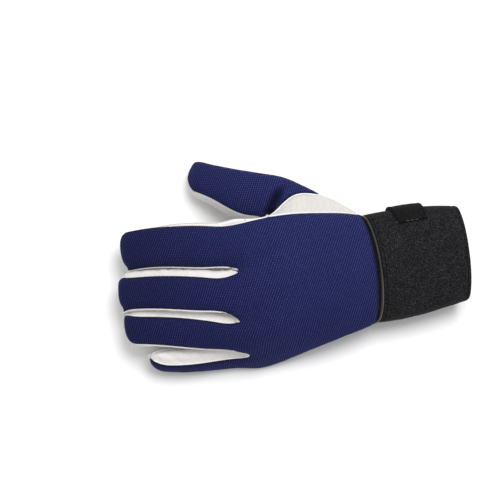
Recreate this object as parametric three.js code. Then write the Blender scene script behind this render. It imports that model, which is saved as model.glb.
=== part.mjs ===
import * as THREE from 'three';

// Left-hand work glove at rest on its little-finger side, fingertips and thumb tip. Millimetres, +Z up.
// Fingers point to -X, the cuff to +X, the thumb lies on the +Y side.

// Walls, seams and layers of the cuff.
const KNIT_WALL = 1.6;
const LEATHER_WALL = 2.0;
const BAND_WALL = 2.0;
const CROTCH_WALL = 0.7;
const STRAP_WALL = 2.6;
const WING_WALL = 2.2;
const TAB_WALL = 2.2;
const PATCH_WALL = 1.2;
const SEAM_GAP = 0.4;
const LAYER_GAP = 0.35;
const BINDING_RADIUS = 1.1;

// Counts of facets.
const BACK_COLUMNS = 6;
const SIDE_COLUMNS = 3;
const HAND_ROWS = 7;
const FINGER_ROWS = 7;
const TIP_ROWS = 4;
const THUMB_ROOT_ROWS = 4;

// Sections of the hand from the knuckles (s 0) over the wrist edge (s 1) to the end of the cuff (s 2).
// xThumb, xLittle: place along X at the two edges; bow: how far the middle reaches forward;
// lean: how far the section leans back, degrees; y, z: thumb-side edge of its midline;
// span: length of the midline; roll, cup: slope at the thumb side and the added turn, degrees;
// thick: thickness; square: exponent of its outline.
const HAND = [
  { s: 0.0, xThumb: 4, xLittle: -5, bow: 13, lean: 0, y: 16, z: 50, span: 113, roll: 5, cup: 88, turn: 2.2,
    thick: 27, square: 3.4 },
  { s: 0.3, xThumb: 24, xLittle: 22, bow: 4, lean: 4, y: 18, z: 48, span: 102, roll: 6, cup: 64, turn: 2.0,
    thick: 31, square: 3.0 },
  { s: 0.65, xThumb: 50, xLittle: 50, bow: -1, lean: 8, y: 16, z: 42.5, span: 90, roll: 8, cup: 34, turn: 1.6,
    thick: 37, square: 2.7 },
  { s: 1.0, xThumb: 76, xLittle: 77, bow: -3, lean: 11, y: 12.8, z: 33.5, span: 80, roll: 10, cup: 12, turn: 1.2,
    thick: 39, square: 2.4 },
  { s: 1.03, xThumb: 77.8, xLittle: 79, bow: -3, lean: 11, y: 9.6, z: 31.5, span: 73, roll: 10, cup: 10,
    turn: 1.2, thick: 33.5, square: 2.4 },
  { s: 1.25, xThumb: 93.5, xLittle: 93, bow: -3, lean: 11, y: 10.4, z: 29.6, span: 74, roll: 8, cup: 9, turn: 1.2,
    thick: 32.5, square: 2.4 },
  { s: 1.6, xThumb: 118.5, xLittle: 117.3, bow: -2, lean: 11, y: 10, z: 28.2, span: 71.4, roll: 6.6, cup: 7.6,
    turn: 1.2, thick: 32, square: 2.4 },
  { s: 2.0, xThumb: 145.2, xLittle: 143.6, bow: -1, lean: 11, y: 5.8, z: 26.5, span: 63.2, roll: 5, cup: 6, turn: 1.2,
    thick: 31, square: 2.4 },
];

// Fingers from the thumb side outwards. share: share of the knuckle span; tip: place of the tip's centre;
// rise: slope at the root, degrees; drop: slope at the tip, degrees; rollRoot, rollTip: degrees;
// wide, deep: size at the middle; wideTip, deepTip: size where the tip starts to round; seamNear, seamFar: how
// high the seam of the back runs on the thumb side and on the other side, degrees; skew: how far the tip's end
// lies off the middle, to the far side.
const FINGERS = [
  { name: 'index', share: 0.284, flat: 1, tip: [-88.3, 18.1, 12.5], rise: 4, drop: 34, yaw: 8, rollTip: 7,
    wide: 33.2, deep: 27, wideTip: 30.5, deepTip: 24, seamNear: 40, seamFar: 24, skew: 0.5 },
  { name: 'middle', share: 0.276, flat: 1, tip: [-95, -12.0, 13], rise: 4, drop: 34, yaw: 12, rollTip: 8,
    wide: 29, deep: 26, wideTip: 27.5, deepTip: 23, seamNear: 40, seamFar: 40, skew: -2.5 },
  { name: 'ring', share: 0.230, flat: 0.95, tip: [-95.5, -36.9, 13.5], rise: 2, drop: 26, yaw: 14, rollTip: 16,
    wide: 26, deep: 22.5, wideTip: 23.4, deepTip: 21, seamNear: 34, seamFar: 40, skew: -4 },
  { name: 'little', share: 0.210, flat: 0.70, tip: [-83, -60.2, 10.5], rise: 0, drop: 2, yaw: 12, rollTip: 84,
    wide: 21, deep: 17, wideTip: 20, deepTip: 15.5, seamNear: 40, seamFar: 40, skew: 0 },
];

// Thumb from its base to its tip: place of the centre, width, depth, roll in degrees.
const THUMB = [
  { x: 24.6, y: 32.4, z: 33, wide: 34, deep: 29, roll: 0 },
  { x: 12.6, y: 38.6, z: 28, wide: 32, deep: 27.5, roll: -3 },
  { x: 1.5, y: 44.8, z: 23, wide: 30.5, deep: 26, roll: -5 },
  { x: -10.5, y: 52, z: 17.3, wide: 28.5, deep: 24.5, roll: -6 },
  { x: -21.5, y: 58.6, z: 12.2, wide: 26.5, deep: 22.5, roll: -6 },
];
const THUMB_TIP_LENGTH = 16.5;
const FINGER_TIP_LENGTH = 13;
const TIP_NARROW = 0.5;
const THUMB_TIP_SKEW = -6;
const THUMB_SEAM_FAR = 26;
const SEAM_UP = 40;
const SEAM_DOWN = 45;
const HAND_SEAM_UP = 28;
const HAND_SEAM_WEDGE = 13;
const HAND_SEAM_DOWN = 45;
const FINGER_SQUARE = 3.0;
const ROOT_NARROW = 0.92;

const rad = (deg) => (deg * Math.PI) / 180;
const V = (x, y, z) => new THREE.Vector3(x, y, z);
const lerp = (a, b, t) => a + (b - a) * t;
const smooth = (t) => {
  const c = Math.min(1, Math.max(0, t));
  return c * c * (3 - 2 * c);
};
const signedPower = (v, p) => Math.sign(v) * Math.pow(Math.abs(v), p);

// One row of a table at s, by a smooth curve through its rows.
function rowAt(table, s) {
  const last = table.length - 1;
  let k = 0;
  while (k < last - 1 && table[k + 1].s <= s) k += 1;
  const row = {};
  const [r1, r2] = [table[k], table[k + 1]];
  const t = (s - r1.s) / (r2.s - r1.s);
  const r0 = table[Math.max(0, k - 1)];
  const r3 = table[Math.min(last, k + 2)];
  for (const key of Object.keys(r1)) {
    const span = r2.s - r1.s;
    const m1 = k > 0 ? ((r2[key] - r0[key]) / (r2.s - r0.s)) * span : r2[key] - r1[key];
    const m2 = k < last - 1 ? ((r3[key] - r1[key]) / (r3.s - r1.s)) * span : r2[key] - r1[key];
    const t2 = t * t;
    const t3 = t2 * t;
    row[key] = (2 * t3 - 3 * t2 + 1) * r1[key] + (t3 - 2 * t2 + t) * m1 + (3 * t2 - 2 * t3) * r2[key]
      + (t3 - t2) * m2;
  }
  return row;
}

// Midline of a hand section at q 0 (thumb side) to 1 (little finger side), with its outward normal.
function midline(row, q) {
  const steps = 24;
  let y = row.y;
  let z = row.z;
  const qq = Math.min(1, Math.max(0, q));
  for (let k = 0; k < steps; k += 1) {
    const angle = rad(row.roll + row.cup * Math.pow(((k + 0.5) / steps) * qq, row.turn));
    y -= (Math.cos(angle) * row.span * qq) / steps;
    z -= (Math.sin(angle) * row.span * qq) / steps;
  }
  const angle = rad(row.roll + row.cup * Math.pow(qq, row.turn));
  const x = lerp(row.xThumb, row.xLittle, q) - row.bow * 4 * q * (1 - q);
  return { at: V(x, y, z), normal: V(0, -Math.sin(angle), Math.cos(angle)), angle };
}

// Point of a hand section: across -1 (thumb side) to 1, height in millimetres over the midline.
function handPoint(row, across, height) {
  const q = (across + 1) / 2;
  const m = midline(row, q);
  const p = m.at.clone().addScaledVector(m.normal, height);
  const centre = row.z - Math.sin(rad(row.roll + row.cup / 3)) * row.span * 0.5;
  p.x += Math.tan(rad(row.lean)) * (p.z - centre);
  return p;
}

// Angles of one ring of a tube: back, far side, palm, near side. Across runs from near (-1) to far (+1).
function ringAngles(back, up, down, upFar = up) {
  const angles = [];
  for (let k = 0; k < back; k += 1) angles.push(lerp(180 - up, upFar, k / back));
  for (let k = 0; k < SIDE_COLUMNS; k += 1) angles.push(lerp(upFar, -down, k / SIDE_COLUMNS));
  for (let k = 0; k < back; k += 1) angles.push(lerp(-down, -180 + down, k / back));
  for (let k = 0; k < SIDE_COLUMNS; k += 1) angles.push(lerp(-180 + down, -180 - up, k / SIDE_COLUMNS));
  return angles;
}
const superellipse = (deg, square) => [
  signedPower(Math.cos(rad(deg)), 2 / square),
  signedPower(Math.sin(rad(deg)), 2 / square),
];

// All patches share one welded surface, so that neighbours meet in the same seam lines.
const points = [];
const lookup = new Map();
const patches = {};
function pointIndex(p) {
  const key = `${Math.round(p.x * 500)},${Math.round(p.y * 500)},${Math.round(p.z * 500)}`;
  if (!lookup.has(key)) {
    lookup.set(key, points.length);
    points.push(p.clone());
  }
  return lookup.get(key);
}
function addQuad(patch, a, b, c, d) {
  const ids = [a, b, c, d].map(pointIndex);
  const clean = ids.filter((id, k) => ids.indexOf(id) === k);
  if (clean.length < 3) return;
  (patches[patch] ??= []).push(clean);
}
// Grid between two rings of points that run the same way; rows go away from the first ring.
function addStrip(patch, ringA, ringB, from, to, flip = false) {
  for (let k = from; k < to; k += 1) {
    const n = ringA.length;
    const [a, b, c, d] = [ringA[k % n], ringA[(k + 1) % n], ringB[(k + 1) % n], ringB[k % n]];
    if (flip) addQuad(patch, a, d, c, b);
    else addQuad(patch, a, b, c, d);
  }
}

// Across and height of each column of the knuckle row, made of the four finger sections side by side.
const shares = FINGERS.map((f) => f.share);
const shareSum = shares.reduce((a, b) => a + b, 0);
const nodes = [0];
for (const share of shares) nodes.push(nodes[nodes.length - 1] + share / shareSum);
const CREASE = 0.80;
const flats = FINGERS.map((f) => f.flat);
function knuckleColumns(side) {
  const columns = [];
  for (let f = 0; f < 4; f += 1) {
    const near = (flats[Math.max(0, f - 1)] + flats[f]) / 2;
    const far = (flats[f] + flats[Math.min(3, f + 1)]) / 2;
    for (let k = 0; k < BACK_COLUMNS; k += 1) {
      const local = (2 * k) / BACK_COLUMNS - 1;
      const across = lerp(nodes[f], nodes[f + 1], (local + 1) / 2) * 2 - 1;
      const flat = local < 0 ? lerp(flats[f], near, -local) : lerp(flats[f], far, local);
      const height = lerp(CREASE, 1, Math.sqrt(Math.max(0, 1 - local * local))) * flat * side;
      columns.push([across, height]);
    }
  }
  columns.push([1, CREASE * flats[3] * side]);
  return columns;
}
const knuckleBack = knuckleColumns(1);
const knucklePalm = knuckleColumns(-1);
const HAND_COLUMNS = BACK_COLUMNS * 4;

// Layers of the cuff under the palm side lift its inner band over the surface that the glove rests on.
const CUFF_STACK = LAYER_GAP * 3 + STRAP_WALL + WING_WALL + PATCH_WALL;
const REST_SOFT = 0.6;
const REST_LEVEL = 1.0;
function pressFlat(p, level) {
  const z = p.z - level;
  if (z < REST_SOFT) p.z = level + (z < -REST_SOFT ? 0 : ((z + REST_SOFT) ** 2) / (4 * REST_SOFT));
  return p;
}

// Ring of the hand at s: back columns, little-finger side, palm columns backwards, thumb side.
function handRing(s) {
  const row = rowAt(HAND, s);
  const blend = smooth(s / 0.55);
  const ring = [];
  const half = row.thick / 2;
  const toWedge = smooth((s - 0.1) / 0.35) * (1 - smooth((s - 0.95) / 0.13));
  const near = lerp(HAND_SEAM_UP, HAND_SEAM_WEDGE, toWedge);
  const angles = ringAngles(HAND_COLUMNS, near, HAND_SEAM_DOWN, HAND_SEAM_UP);
  const total = angles.length;
  for (let k = 0; k < total; k += 1) {
    const [ca, sa] = superellipse(angles[k], row.square);
    let knuckle;
    if (k <= HAND_COLUMNS) {
      knuckle = knuckleBack[k];
    } else if (k < HAND_COLUMNS + SIDE_COLUMNS) {
      const t = (k - HAND_COLUMNS) / SIDE_COLUMNS;
      knuckle = [1, lerp(CREASE, -CREASE, t) * flats[3]];
    } else if (k <= 2 * HAND_COLUMNS + SIDE_COLUMNS) {
      knuckle = knucklePalm[2 * HAND_COLUMNS + SIDE_COLUMNS - k];
    } else {
      const t = (k - 2 * HAND_COLUMNS - SIDE_COLUMNS) / SIDE_COLUMNS;
      knuckle = [-1, lerp(-CREASE, CREASE, t)];
    }
    const across = lerp(knuckle[0], ca, blend);
    const height = lerp(knuckle[1], sa, blend) * half;
    ring.push(pressFlat(handPoint(row, across, height), REST_LEVEL + CUFF_STACK * smooth((s - 0.9) / 0.12)));
  }
  return ring;
}
const handRings = [];
for (let k = 0; k <= HAND_ROWS; k += 1) handRings.push(handRing(k / HAND_ROWS));
const SIDE_FAR = HAND_COLUMNS + SIDE_COLUMNS;
const PALM_END = 2 * HAND_COLUMNS + SIDE_COLUMNS;
const RING_TOTAL = PALM_END + SIDE_COLUMNS;
const WEB_ROW = 1;
// The ends of the slits between the fingers.
const crotches = [];
for (let f = 1; f < 4; f += 1) {
  crotches.push(pointIndex(handRings[0][f * BACK_COLUMNS]), pointIndex(handRings[0][PALM_END - f * BACK_COLUMNS]));
}
for (let r = 0; r < HAND_ROWS; r += 1) {
  const [a, b] = [handRings[r], handRings[r + 1]];
  addStrip('knit_back', a, b, 0, SIDE_FAR);
  addStrip('leather_palm', a, b, SIDE_FAR, PALM_END);
  if (r < WEB_ROW) addStrip('leather_palm', a, b, PALM_END, RING_TOTAL);
}
// Places along the cuff where its layers start and end, on the same scale as the hand's sections.
const STRAP_FROM = 1.058;
const STRAP_TO = 2.0;
const WING_FROM = 1.36;
const WING_TO = 1.97;
const TAB_FROM = 1.32;
const TAB_TO = 1.62;
const PATCH_FROM = 1.50;
const PATCH_TO = 1.82;
const BAND_WAIST = 1.03;
const BAND_TO = 1.95;
const cuffLines = [BAND_WAIST, STRAP_FROM, TAB_FROM, WING_FROM, PATCH_FROM, TAB_TO, PATCH_TO, BAND_TO, WING_TO,
  STRAP_TO].sort((a, b) => a - b);
const linesBetween = (from, to) => cuffLines.filter((s) => s >= from && s <= to);
let before = handRings[HAND_ROWS];
for (const station of linesBetween(BAND_WAIST, BAND_TO)) {
  const ring = handRing(station);
  addStrip('cuff_band', before, ring, 0, RING_TOTAL);
  before = ring;
}

// Frame of a tube: T along it, N out of its back, A across it from the near to the far side.
function frame(direction, rollDeg) {
  const t = direction.clone().normalize();
  const flat = V(0, -Math.sin(rad(rollDeg)), Math.cos(rad(rollDeg)));
  const n = flat.addScaledVector(t, -flat.dot(t)).normalize();
  const a = V(0, 0, 0).crossVectors(t, n).negate();
  return { t, n, a };
}
function tubeRing(centre, axes, halfWide, halfDeep, angles, square) {
  return angles.map((deg) => {
    const [ca, sa] = superellipse(deg, square);
    return centre.clone().addScaledVector(axes.a, ca * halfWide).addScaledVector(axes.n, sa * halfDeep);
  });
}
// Closed end of a tube: rings that round over to one seam line across the tip.
function tipRings(centre, axes, halfWide, halfDeep, length, skew, up, down, square, upFar = up) {
  const rings = [];
  for (let k = 1; k <= TIP_ROWS; k += 1) {
    const turn = (k / TIP_ROWS) * Math.PI * 0.5;
    const fade = 1 - k / TIP_ROWS;
    const angles = ringAngles(BACK_COLUMNS, lerp(4, up, fade), lerp(4, down, fade), lerp(4, upFar, fade));
    const deep = halfDeep * Math.pow(Math.cos(turn), 0.8);
    const wide = halfWide * lerp(TIP_NARROW, 1, Math.pow(Math.cos(turn), 0.6));
    const along = length * Math.sin(turn);
    const at = centre.clone().addScaledVector(axes.t, along).addScaledVector(axes.a, skew * (1 - Math.cos(turn)));
    rings.push(tubeRing(at, axes, wide, k === TIP_ROWS ? 0 : deep, angles, square));
  }
  return rings;
}

// Fingers.
const knuckleRow = rowAt(HAND, 0);
const fingerRings = FINGERS.map((finger, f) => {
  const middle = midline(knuckleRow, (nodes[f] + nodes[f + 1]) / 2);
  const rollRoot = (middle.angle * 180) / Math.PI;
  const start = middle.at.clone();
  const heading = (slope) => V(
    -Math.cos(rad(slope)) * Math.cos(rad(finger.yaw)),
    Math.cos(rad(slope)) * Math.sin(rad(finger.yaw)),
    -Math.sin(rad(slope)),
  );
  const tipAxis = heading(finger.drop);
  const end = V(...finger.tip).addScaledVector(tipAxis, -FINGER_TIP_LENGTH);
  const length = start.distanceTo(end);
  const c1 = start.clone().addScaledVector(heading(finger.rise), length * 0.38);
  const c2 = end.clone().addScaledVector(tipAxis, -length * 0.38);
  const rings = [];
  const first = [];
  for (let k = 0; k <= BACK_COLUMNS; k += 1) first.push(handRings[0][f * BACK_COLUMNS + k].clone());
  const palmFrom = PALM_END - (f + 1) * BACK_COLUMNS;
  const palm = [];
  for (let k = 0; k <= BACK_COLUMNS; k += 1) palm.push(handRings[0][palmFrom + k].clone());
  for (let k = 1; k < SIDE_COLUMNS; k += 1) {
    first.push(first[BACK_COLUMNS].clone().lerp(palm[0], k / SIDE_COLUMNS));
  }
  first.push(...palm);
  for (let k = 1; k < SIDE_COLUMNS; k += 1) {
    first.push(palm[BACK_COLUMNS].clone().lerp(first[0], k / SIDE_COLUMNS));
  }
  rings.push(first);
  let axes;
  for (let r = 1; r <= FINGER_ROWS; r += 1) {
    const t = r / FINGER_ROWS;
    const u = 1 - t;
    const at = start.clone().multiplyScalar(u * u * u).addScaledVector(c1, 3 * u * u * t)
      .addScaledVector(c2, 3 * u * t * t).addScaledVector(end, t * t * t);
    const along = c1.clone().sub(start).multiplyScalar(u * u)
      .addScaledVector(c2.clone().sub(c1), 2 * u * t).addScaledVector(end.clone().sub(c2), t * t);
    axes = frame(along, lerp(rollRoot, finger.rollTip, smooth(t)));
    const narrow = r === 1 ? ROOT_NARROW : 1;
    const half = (lerp(finger.wide, finger.wideTip, smooth((t - 0.4) / 0.6)) / 2) * narrow;
    const deep = lerp(finger.deep, finger.deepTip, smooth((t - 0.4) / 0.6)) / 2;
    const angles = ringAngles(BACK_COLUMNS, finger.seamNear, SEAM_DOWN, finger.seamFar);
    rings.push(tubeRing(at, axes, half, deep, angles, FINGER_SQUARE));
  }
  const half = finger.wideTip / 2;
  const deep = finger.deepTip / 2;
  rings.push(...tipRings(end, axes, half, deep, FINGER_TIP_LENGTH, finger.skew, finger.seamNear, SEAM_DOWN,
    FINGER_SQUARE, finger.seamFar));
  return rings;
});
const B = BACK_COLUMNS;
const S = SIDE_COLUMNS;
const fourchettes = ['fourchette_index_middle', 'fourchette_middle_ring', 'fourchette_ring_little'];
fingerRings.forEach((rings, f) => {
  const nearPatch = f === 0 ? 'leather_palm' : fourchettes[f - 1];
  const farPatch = f === 3 ? 'knit_back' : fourchettes[f];
  for (let r = 0; r < rings.length - 1; r += 1) {
    const [a, b] = [rings[r], rings[r + 1]];
    addStrip('knit_back', a, b, 0, B, true);
    addStrip(farPatch, a, b, B, B + S, true);
    addStrip('leather_palm', a, b, B + S, 2 * B + S, true);
    addStrip(nearPatch, a, b, 2 * B + S, 2 * B + 2 * S, true);
  }
});


// Thumb: its root ring is the rim of the open thumb side of the hand, between web and wrist edge.
const thumbAt = THUMB.map((row) => V(row.x, row.y, row.z));
const thumbRing = (k) => {
  const last = THUMB.length - 1;
  const along = thumbAt[Math.min(last, k + 1)].clone().sub(thumbAt[Math.max(0, k - 1)]);
  const axes = frame(along, THUMB[k].roll);
  const angles = ringAngles(B, SEAM_UP, SEAM_DOWN, THUMB_SEAM_FAR);
  return { axes, ring: tubeRing(thumbAt[k], axes, THUMB[k].wide / 2, THUMB[k].deep / 2, angles, 2.6) };
};
const root = [];
for (let r = HAND_ROWS; r > WEB_ROW; r -= 1) root.push(handRings[r][0]);
for (let k = RING_TOTAL; k > PALM_END; k -= 1) root.push(handRings[WEB_ROW][k % RING_TOTAL]);
for (let r = WEB_ROW; r < HAND_ROWS; r += 1) root.push(handRings[r][PALM_END]);
for (let k = PALM_END; k < RING_TOTAL; k += 1) root.push(handRings[HAND_ROWS][k]);
const base = thumbRing(0);
const thumbRings = [root];
const WRIST_LEAVE = V(-12, 10, -1);
const WEB_LEAVE = V(-1, 3, -0.5);
const KEYSTONE_ROWS = 2;
const WEDGE_ARCH = 0.14;
for (let k = 1; k < THUMB_ROOT_ROWS; k += 1) {
  thumbRings.push(root.map((p, j) => {
    const arch = j < B ? Math.sin((Math.PI * j) / B) : 0;
    const t = k / THUMB_ROOT_ROWS + WEDGE_ARCH * arch * (k === KEYSTONE_ROWS ? 1 : 0.4);
    const q = base.ring[j];
    const toWeb = j <= B ? j / B : j <= B + S ? 1 : j <= 2 * B + S ? 1 - (j - B - S) / B : 0;
    const leave = WRIST_LEAVE.clone().lerp(WEB_LEAVE, toWeb);
    const arrive = base.axes.t.clone().multiplyScalar(lerp(24, 4, toWeb));
    const t2 = t * t;
    const t3 = t2 * t;
    return p.clone().multiplyScalar(2 * t3 - 3 * t2 + 1).addScaledVector(leave, t3 - 2 * t2 + t)
      .addScaledVector(q, 3 * t2 - 2 * t3).addScaledVector(arrive, t3 - t2);
  }));
}
thumbRings.push(base.ring);
let thumbEnd = base;
for (let k = 1; k < THUMB.length; k += 1) {
  thumbEnd = thumbRing(k);
  thumbRings.push(thumbEnd.ring);
}
const lastThumb = THUMB[THUMB.length - 1];
thumbRings.push(...tipRings(thumbAt[THUMB.length - 1], thumbEnd.axes, lastThumb.wide / 2, lastThumb.deep / 2,
  THUMB_TIP_LENGTH, THUMB_TIP_SKEW, SEAM_UP, SEAM_DOWN, 2.6, THUMB_SEAM_FAR));
for (let r = 0; r < thumbRings.length - 1; r += 1) {
  const [a, b] = [thumbRings[r], thumbRings[r + 1]];
  const dorsal = r < KEYSTONE_ROWS ? 'thumb_keystone' : 'thumb_knit_back';
  addStrip(dorsal, a, b, 0, B, true);
  addStrip('thumb_leather_front', a, b, B, 2 * B + S, true);
  addStrip(dorsal, a, b, 2 * B + S, 2 * B + 2 * S, true);
}

// The glove rests on a flat surface: what would hang below it is pressed flat onto it.
for (const p of points) pressFlat(p, REST_LEVEL);

// Outward normals of the whole surface, by area.
const normals = points.map(() => V(0, 0, 0));
for (const faces of Object.values(patches)) {
  for (const face of faces) {
    for (let k = 1; k < face.length - 1; k += 1) {
      const [a, b, c] = [points[face[0]], points[face[k]], points[face[k + 1]]];
      const n = b.clone().sub(a).cross(c.clone().sub(a));
      for (const id of [face[0], face[k], face[k + 1]]) normals[id].add(n);
    }
  }
}
normals.forEach((n) => n.normalize());

const WALLS = {
  knit_back: KNIT_WALL,
  leather_palm: LEATHER_WALL,
  fourchette_index_middle: LEATHER_WALL * 0.7,
  fourchette_middle_ring: LEATHER_WALL * 0.7,
  fourchette_ring_little: LEATHER_WALL * 0.7,
  thumb_knit_back: KNIT_WALL,
  thumb_leather_front: LEATHER_WALL,
  thumb_keystone: LEATHER_WALL,
  cuff_band: BAND_WALL,
};
// Where two pieces are sewn together, both have the thinner wall of the two.
const wallAt = points.map(() => Infinity);
for (const [name, faces] of Object.entries(patches)) {
  for (const id of faces.flat()) wallAt[id] = Math.min(wallAt[id], WALLS[name]);
}
for (const id of crotches) wallAt[id] = CROTCH_WALL;

// Wall of a patch: its outer face, trimmed back by half a seam gap, and the same face set in by the wall.
function wallMesh(name) {
  const faces = patches[name];
  const edges = new Map();
  const faceNormal = (face) => {
    const n = V(0, 0, 0);
    for (let k = 1; k < face.length - 1; k += 1) {
      const a = points[face[0]];
      n.add(points[face[k]].clone().sub(a).cross(points[face[k + 1]].clone().sub(a)));
    }
    return n.normalize();
  };
  for (const face of faces) {
    face.forEach((id, k) => edges.set(`${id},${face[(k + 1) % face.length]}`, face));
  }
  const inward = new Map();
  const rim = [];
  for (const [key, face] of edges) {
    const [a, b] = key.split(',').map(Number);
    if (edges.has(`${b},${a}`)) continue;
    rim.push([a, b]);
    const into = faceNormal(face).cross(points[b].clone().sub(points[a]).normalize()).normalize();
    for (const id of [a, b]) {
      if (!inward.has(id)) inward.set(id, []);
      inward.get(id).push(into);
    }
  }
  const used = [...new Set(faces.flat())];
  const outer = new Map();
  const inner = new Map();
  const position = [];
  const put = (p) => position.push(p.x, p.y, p.z) / 3 - 1;
  for (const id of used) {
    const p = points[id].clone();
    if (inward.has(id)) {
      const list = inward.get(id);
      const dir = list.reduce((sum, v) => sum.add(v), V(0, 0, 0)).normalize();
      const cosine = Math.max(0.5, dir.dot(list[0]));
      p.addScaledVector(dir, (SEAM_GAP / 2) / cosine);
    }
    outer.set(id, put(p));
    inner.set(id, put(p.clone().addScaledVector(normals[id], -wallAt[id])));
  }
  const index = [];
  const tri = (a, b, c) => index.push(a, b, c);
  for (const face of faces) {
    for (let k = 1; k < face.length - 1; k += 1) {
      tri(outer.get(face[0]), outer.get(face[k]), outer.get(face[k + 1]));
      tri(inner.get(face[0]), inner.get(face[k + 1]), inner.get(face[k]));
    }
  }
  for (const [a, b] of rim) {
    if (a < b) {
      tri(outer.get(b), outer.get(a), inner.get(a));
      tri(outer.get(b), inner.get(a), inner.get(b));
    } else {
      tri(outer.get(b), outer.get(a), inner.get(b));
      tri(outer.get(a), inner.get(a), inner.get(b));
    }
  }
  const geometry = new THREE.BufferGeometry();
  geometry.setAttribute('position', new THREE.Float32BufferAttribute(position, 3));
  geometry.setIndex(index);
  return geometry;
}

const group = new THREE.Group();
group.name = 'anti_vibration_glove';
const material = new THREE.MeshStandardMaterial({ color: 0x8899bb });
function addMesh(name, geometry) {
  const mesh = new THREE.Mesh(geometry, material);
  mesh.name = name;
  group.add(mesh);
}
for (const name of Object.keys(WALLS)) addMesh(name, wallMesh(name));

// Layers round the cuff follow the inner band at a distance. s: along the cuff; column: round it.
function cuffRow(s) {
  const ring = handRing(s);
  const ahead = handRing(s + 0.02);
  const behind = handRing(s - 0.01);
  const along = ring.map((p, k) => ahead[k].clone().sub(behind[k]).normalize());
  const normal = ring.map((p, k) => {
    const next = ring[(k + 1) % RING_TOTAL];
    const last = ring[(k + RING_TOTAL - 1) % RING_TOTAL];
    return next.clone().sub(last).cross(along[k]).normalize();
  });
  return { ring, along, normal };
}
function gridSolid(outerRows, innerRows) {
  const rows = outerRows.length;
  const cols = outerRows[0].length;
  const position = [];
  for (const list of [outerRows, innerRows]) for (const row of list) for (const p of row) position.push(p.x, p.y, p.z);
  const at = (layer, r, c) => layer * rows * cols + r * cols + c;
  const index = [];
  const quad = (a, b, c, d) => index.push(a, b, c, a, c, d);
  for (let r = 0; r < rows - 1; r += 1) {
    for (let c = 0; c < cols - 1; c += 1) {
      quad(at(0, r, c), at(0, r, c + 1), at(0, r + 1, c + 1), at(0, r + 1, c));
      quad(at(1, r, c), at(1, r + 1, c), at(1, r + 1, c + 1), at(1, r, c + 1));
    }
  }
  for (let c = 0; c < cols - 1; c += 1) {
    quad(at(0, 0, c + 1), at(0, 0, c), at(1, 0, c), at(1, 0, c + 1));
    quad(at(0, rows - 1, c), at(0, rows - 1, c + 1), at(1, rows - 1, c + 1), at(1, rows - 1, c));
  }
  for (let r = 0; r < rows - 1; r += 1) {
    quad(at(0, r, 0), at(0, r + 1, 0), at(1, r + 1, 0), at(1, r, 0));
    quad(at(0, r + 1, cols - 1), at(0, r, cols - 1), at(1, r, cols - 1), at(1, r + 1, cols - 1));
  }
  const geometry = new THREE.BufferGeometry();
  geometry.setAttribute('position', new THREE.Float32BufferAttribute(position, 3));
  geometry.setIndex(index);
  return geometry;
}
function layer(start, end, from, to, base, wall) {
  const outerRows = [];
  const innerRows = [];
  for (const s of linesBetween(start, end)) {
    const { ring, normal } = cuffRow(s);
    const outerRow = [];
    const innerRow = [];
    for (let k = from; k <= to; k += 1) {
      const id = ((k % RING_TOTAL) + RING_TOTAL) % RING_TOTAL;
      innerRow.push(ring[id].clone().addScaledVector(normal[id], base));
      outerRow.push(ring[id].clone().addScaledVector(normal[id], base + wall));
    }
    outerRows.push(outerRow);
    innerRows.push(innerRow);
  }
  return gridSolid(outerRows, innerRows);
}
// The wrap is open along one line, which its outer wing covers.
const WRAP_OPEN = 39;
const TAB_REACH = 4;
const WING_NEAR = PALM_END - 1;
const PATCH_COLUMNS = [33, 45];
const STRAP_BASE = LAYER_GAP;
const WING_BASE = STRAP_BASE + STRAP_WALL + LAYER_GAP;
const PATCH_BASE = WING_BASE + WING_WALL + LAYER_GAP;
addMesh('wrist_strap', layer(STRAP_FROM, STRAP_TO, WRAP_OPEN - RING_TOTAL, WRAP_OPEN - 1, STRAP_BASE, STRAP_WALL));
addMesh('strap_wing', layer(WING_FROM, WING_TO, SIDE_FAR - 1, WING_NEAR, WING_BASE, WING_WALL));
addMesh('loop_patch', layer(PATCH_FROM, PATCH_TO, PATCH_COLUMNS[0], PATCH_COLUMNS[1], PATCH_BASE, PATCH_WALL));
addMesh('hook_tab', layer(TAB_FROM, TAB_TO, WING_NEAR + 1, RING_TOTAL + TAB_REACH, WING_BASE, TAB_WALL));

// Piping along the hand-side edge of the wrap.
const PIPING_SIDES = 6;
const PIPING_AT = STRAP_FROM - 0.021;
const piping = cuffRow(PIPING_AT);
const loops = [];
for (let k = WRAP_OPEN - RING_TOTAL; k <= WRAP_OPEN - 1; k += 1) {
  const id = ((k % RING_TOTAL) + RING_TOTAL) % RING_TOTAL;
  const centre = piping.ring[id].clone().addScaledVector(piping.normal[id], STRAP_BASE + STRAP_WALL / 2);
  const loop = [];
  for (let j = 0; j < PIPING_SIDES; j += 1) {
    const turn = (j / PIPING_SIDES) * Math.PI * 2;
    loop.push(centre.clone().addScaledVector(piping.normal[id], Math.cos(turn) * BINDING_RADIUS)
      .addScaledVector(piping.along[id], Math.sin(turn) * BINDING_RADIUS));
  }
  loops.push(loop);
}
{
  const position = loops.flat().flatMap((p) => [p.x, p.y, p.z]);
  const index = [];
  const n = PIPING_SIDES;
  for (let k = 0; k < loops.length - 1; k += 1) {
    for (let j = 0; j < n; j += 1) {
      const [a, b] = [k * n + j, k * n + ((j + 1) % n)];
      const [c, d] = [(k + 1) * n + ((j + 1) % n), (k + 1) * n + j];
      index.push(a, c, b, a, d, c);
    }
  }
  for (let j = 1; j < n - 1; j += 1) {
    index.push(0, j, j + 1);
    const end = (loops.length - 1) * n;
    index.push(end, end + j + 1, end + j);
  }
  const geometry = new THREE.BufferGeometry();
  geometry.setAttribute('position', new THREE.Float32BufferAttribute(position, 3));
  geometry.setIndex(index);
  addMesh('strap_binding', geometry);
}

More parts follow.
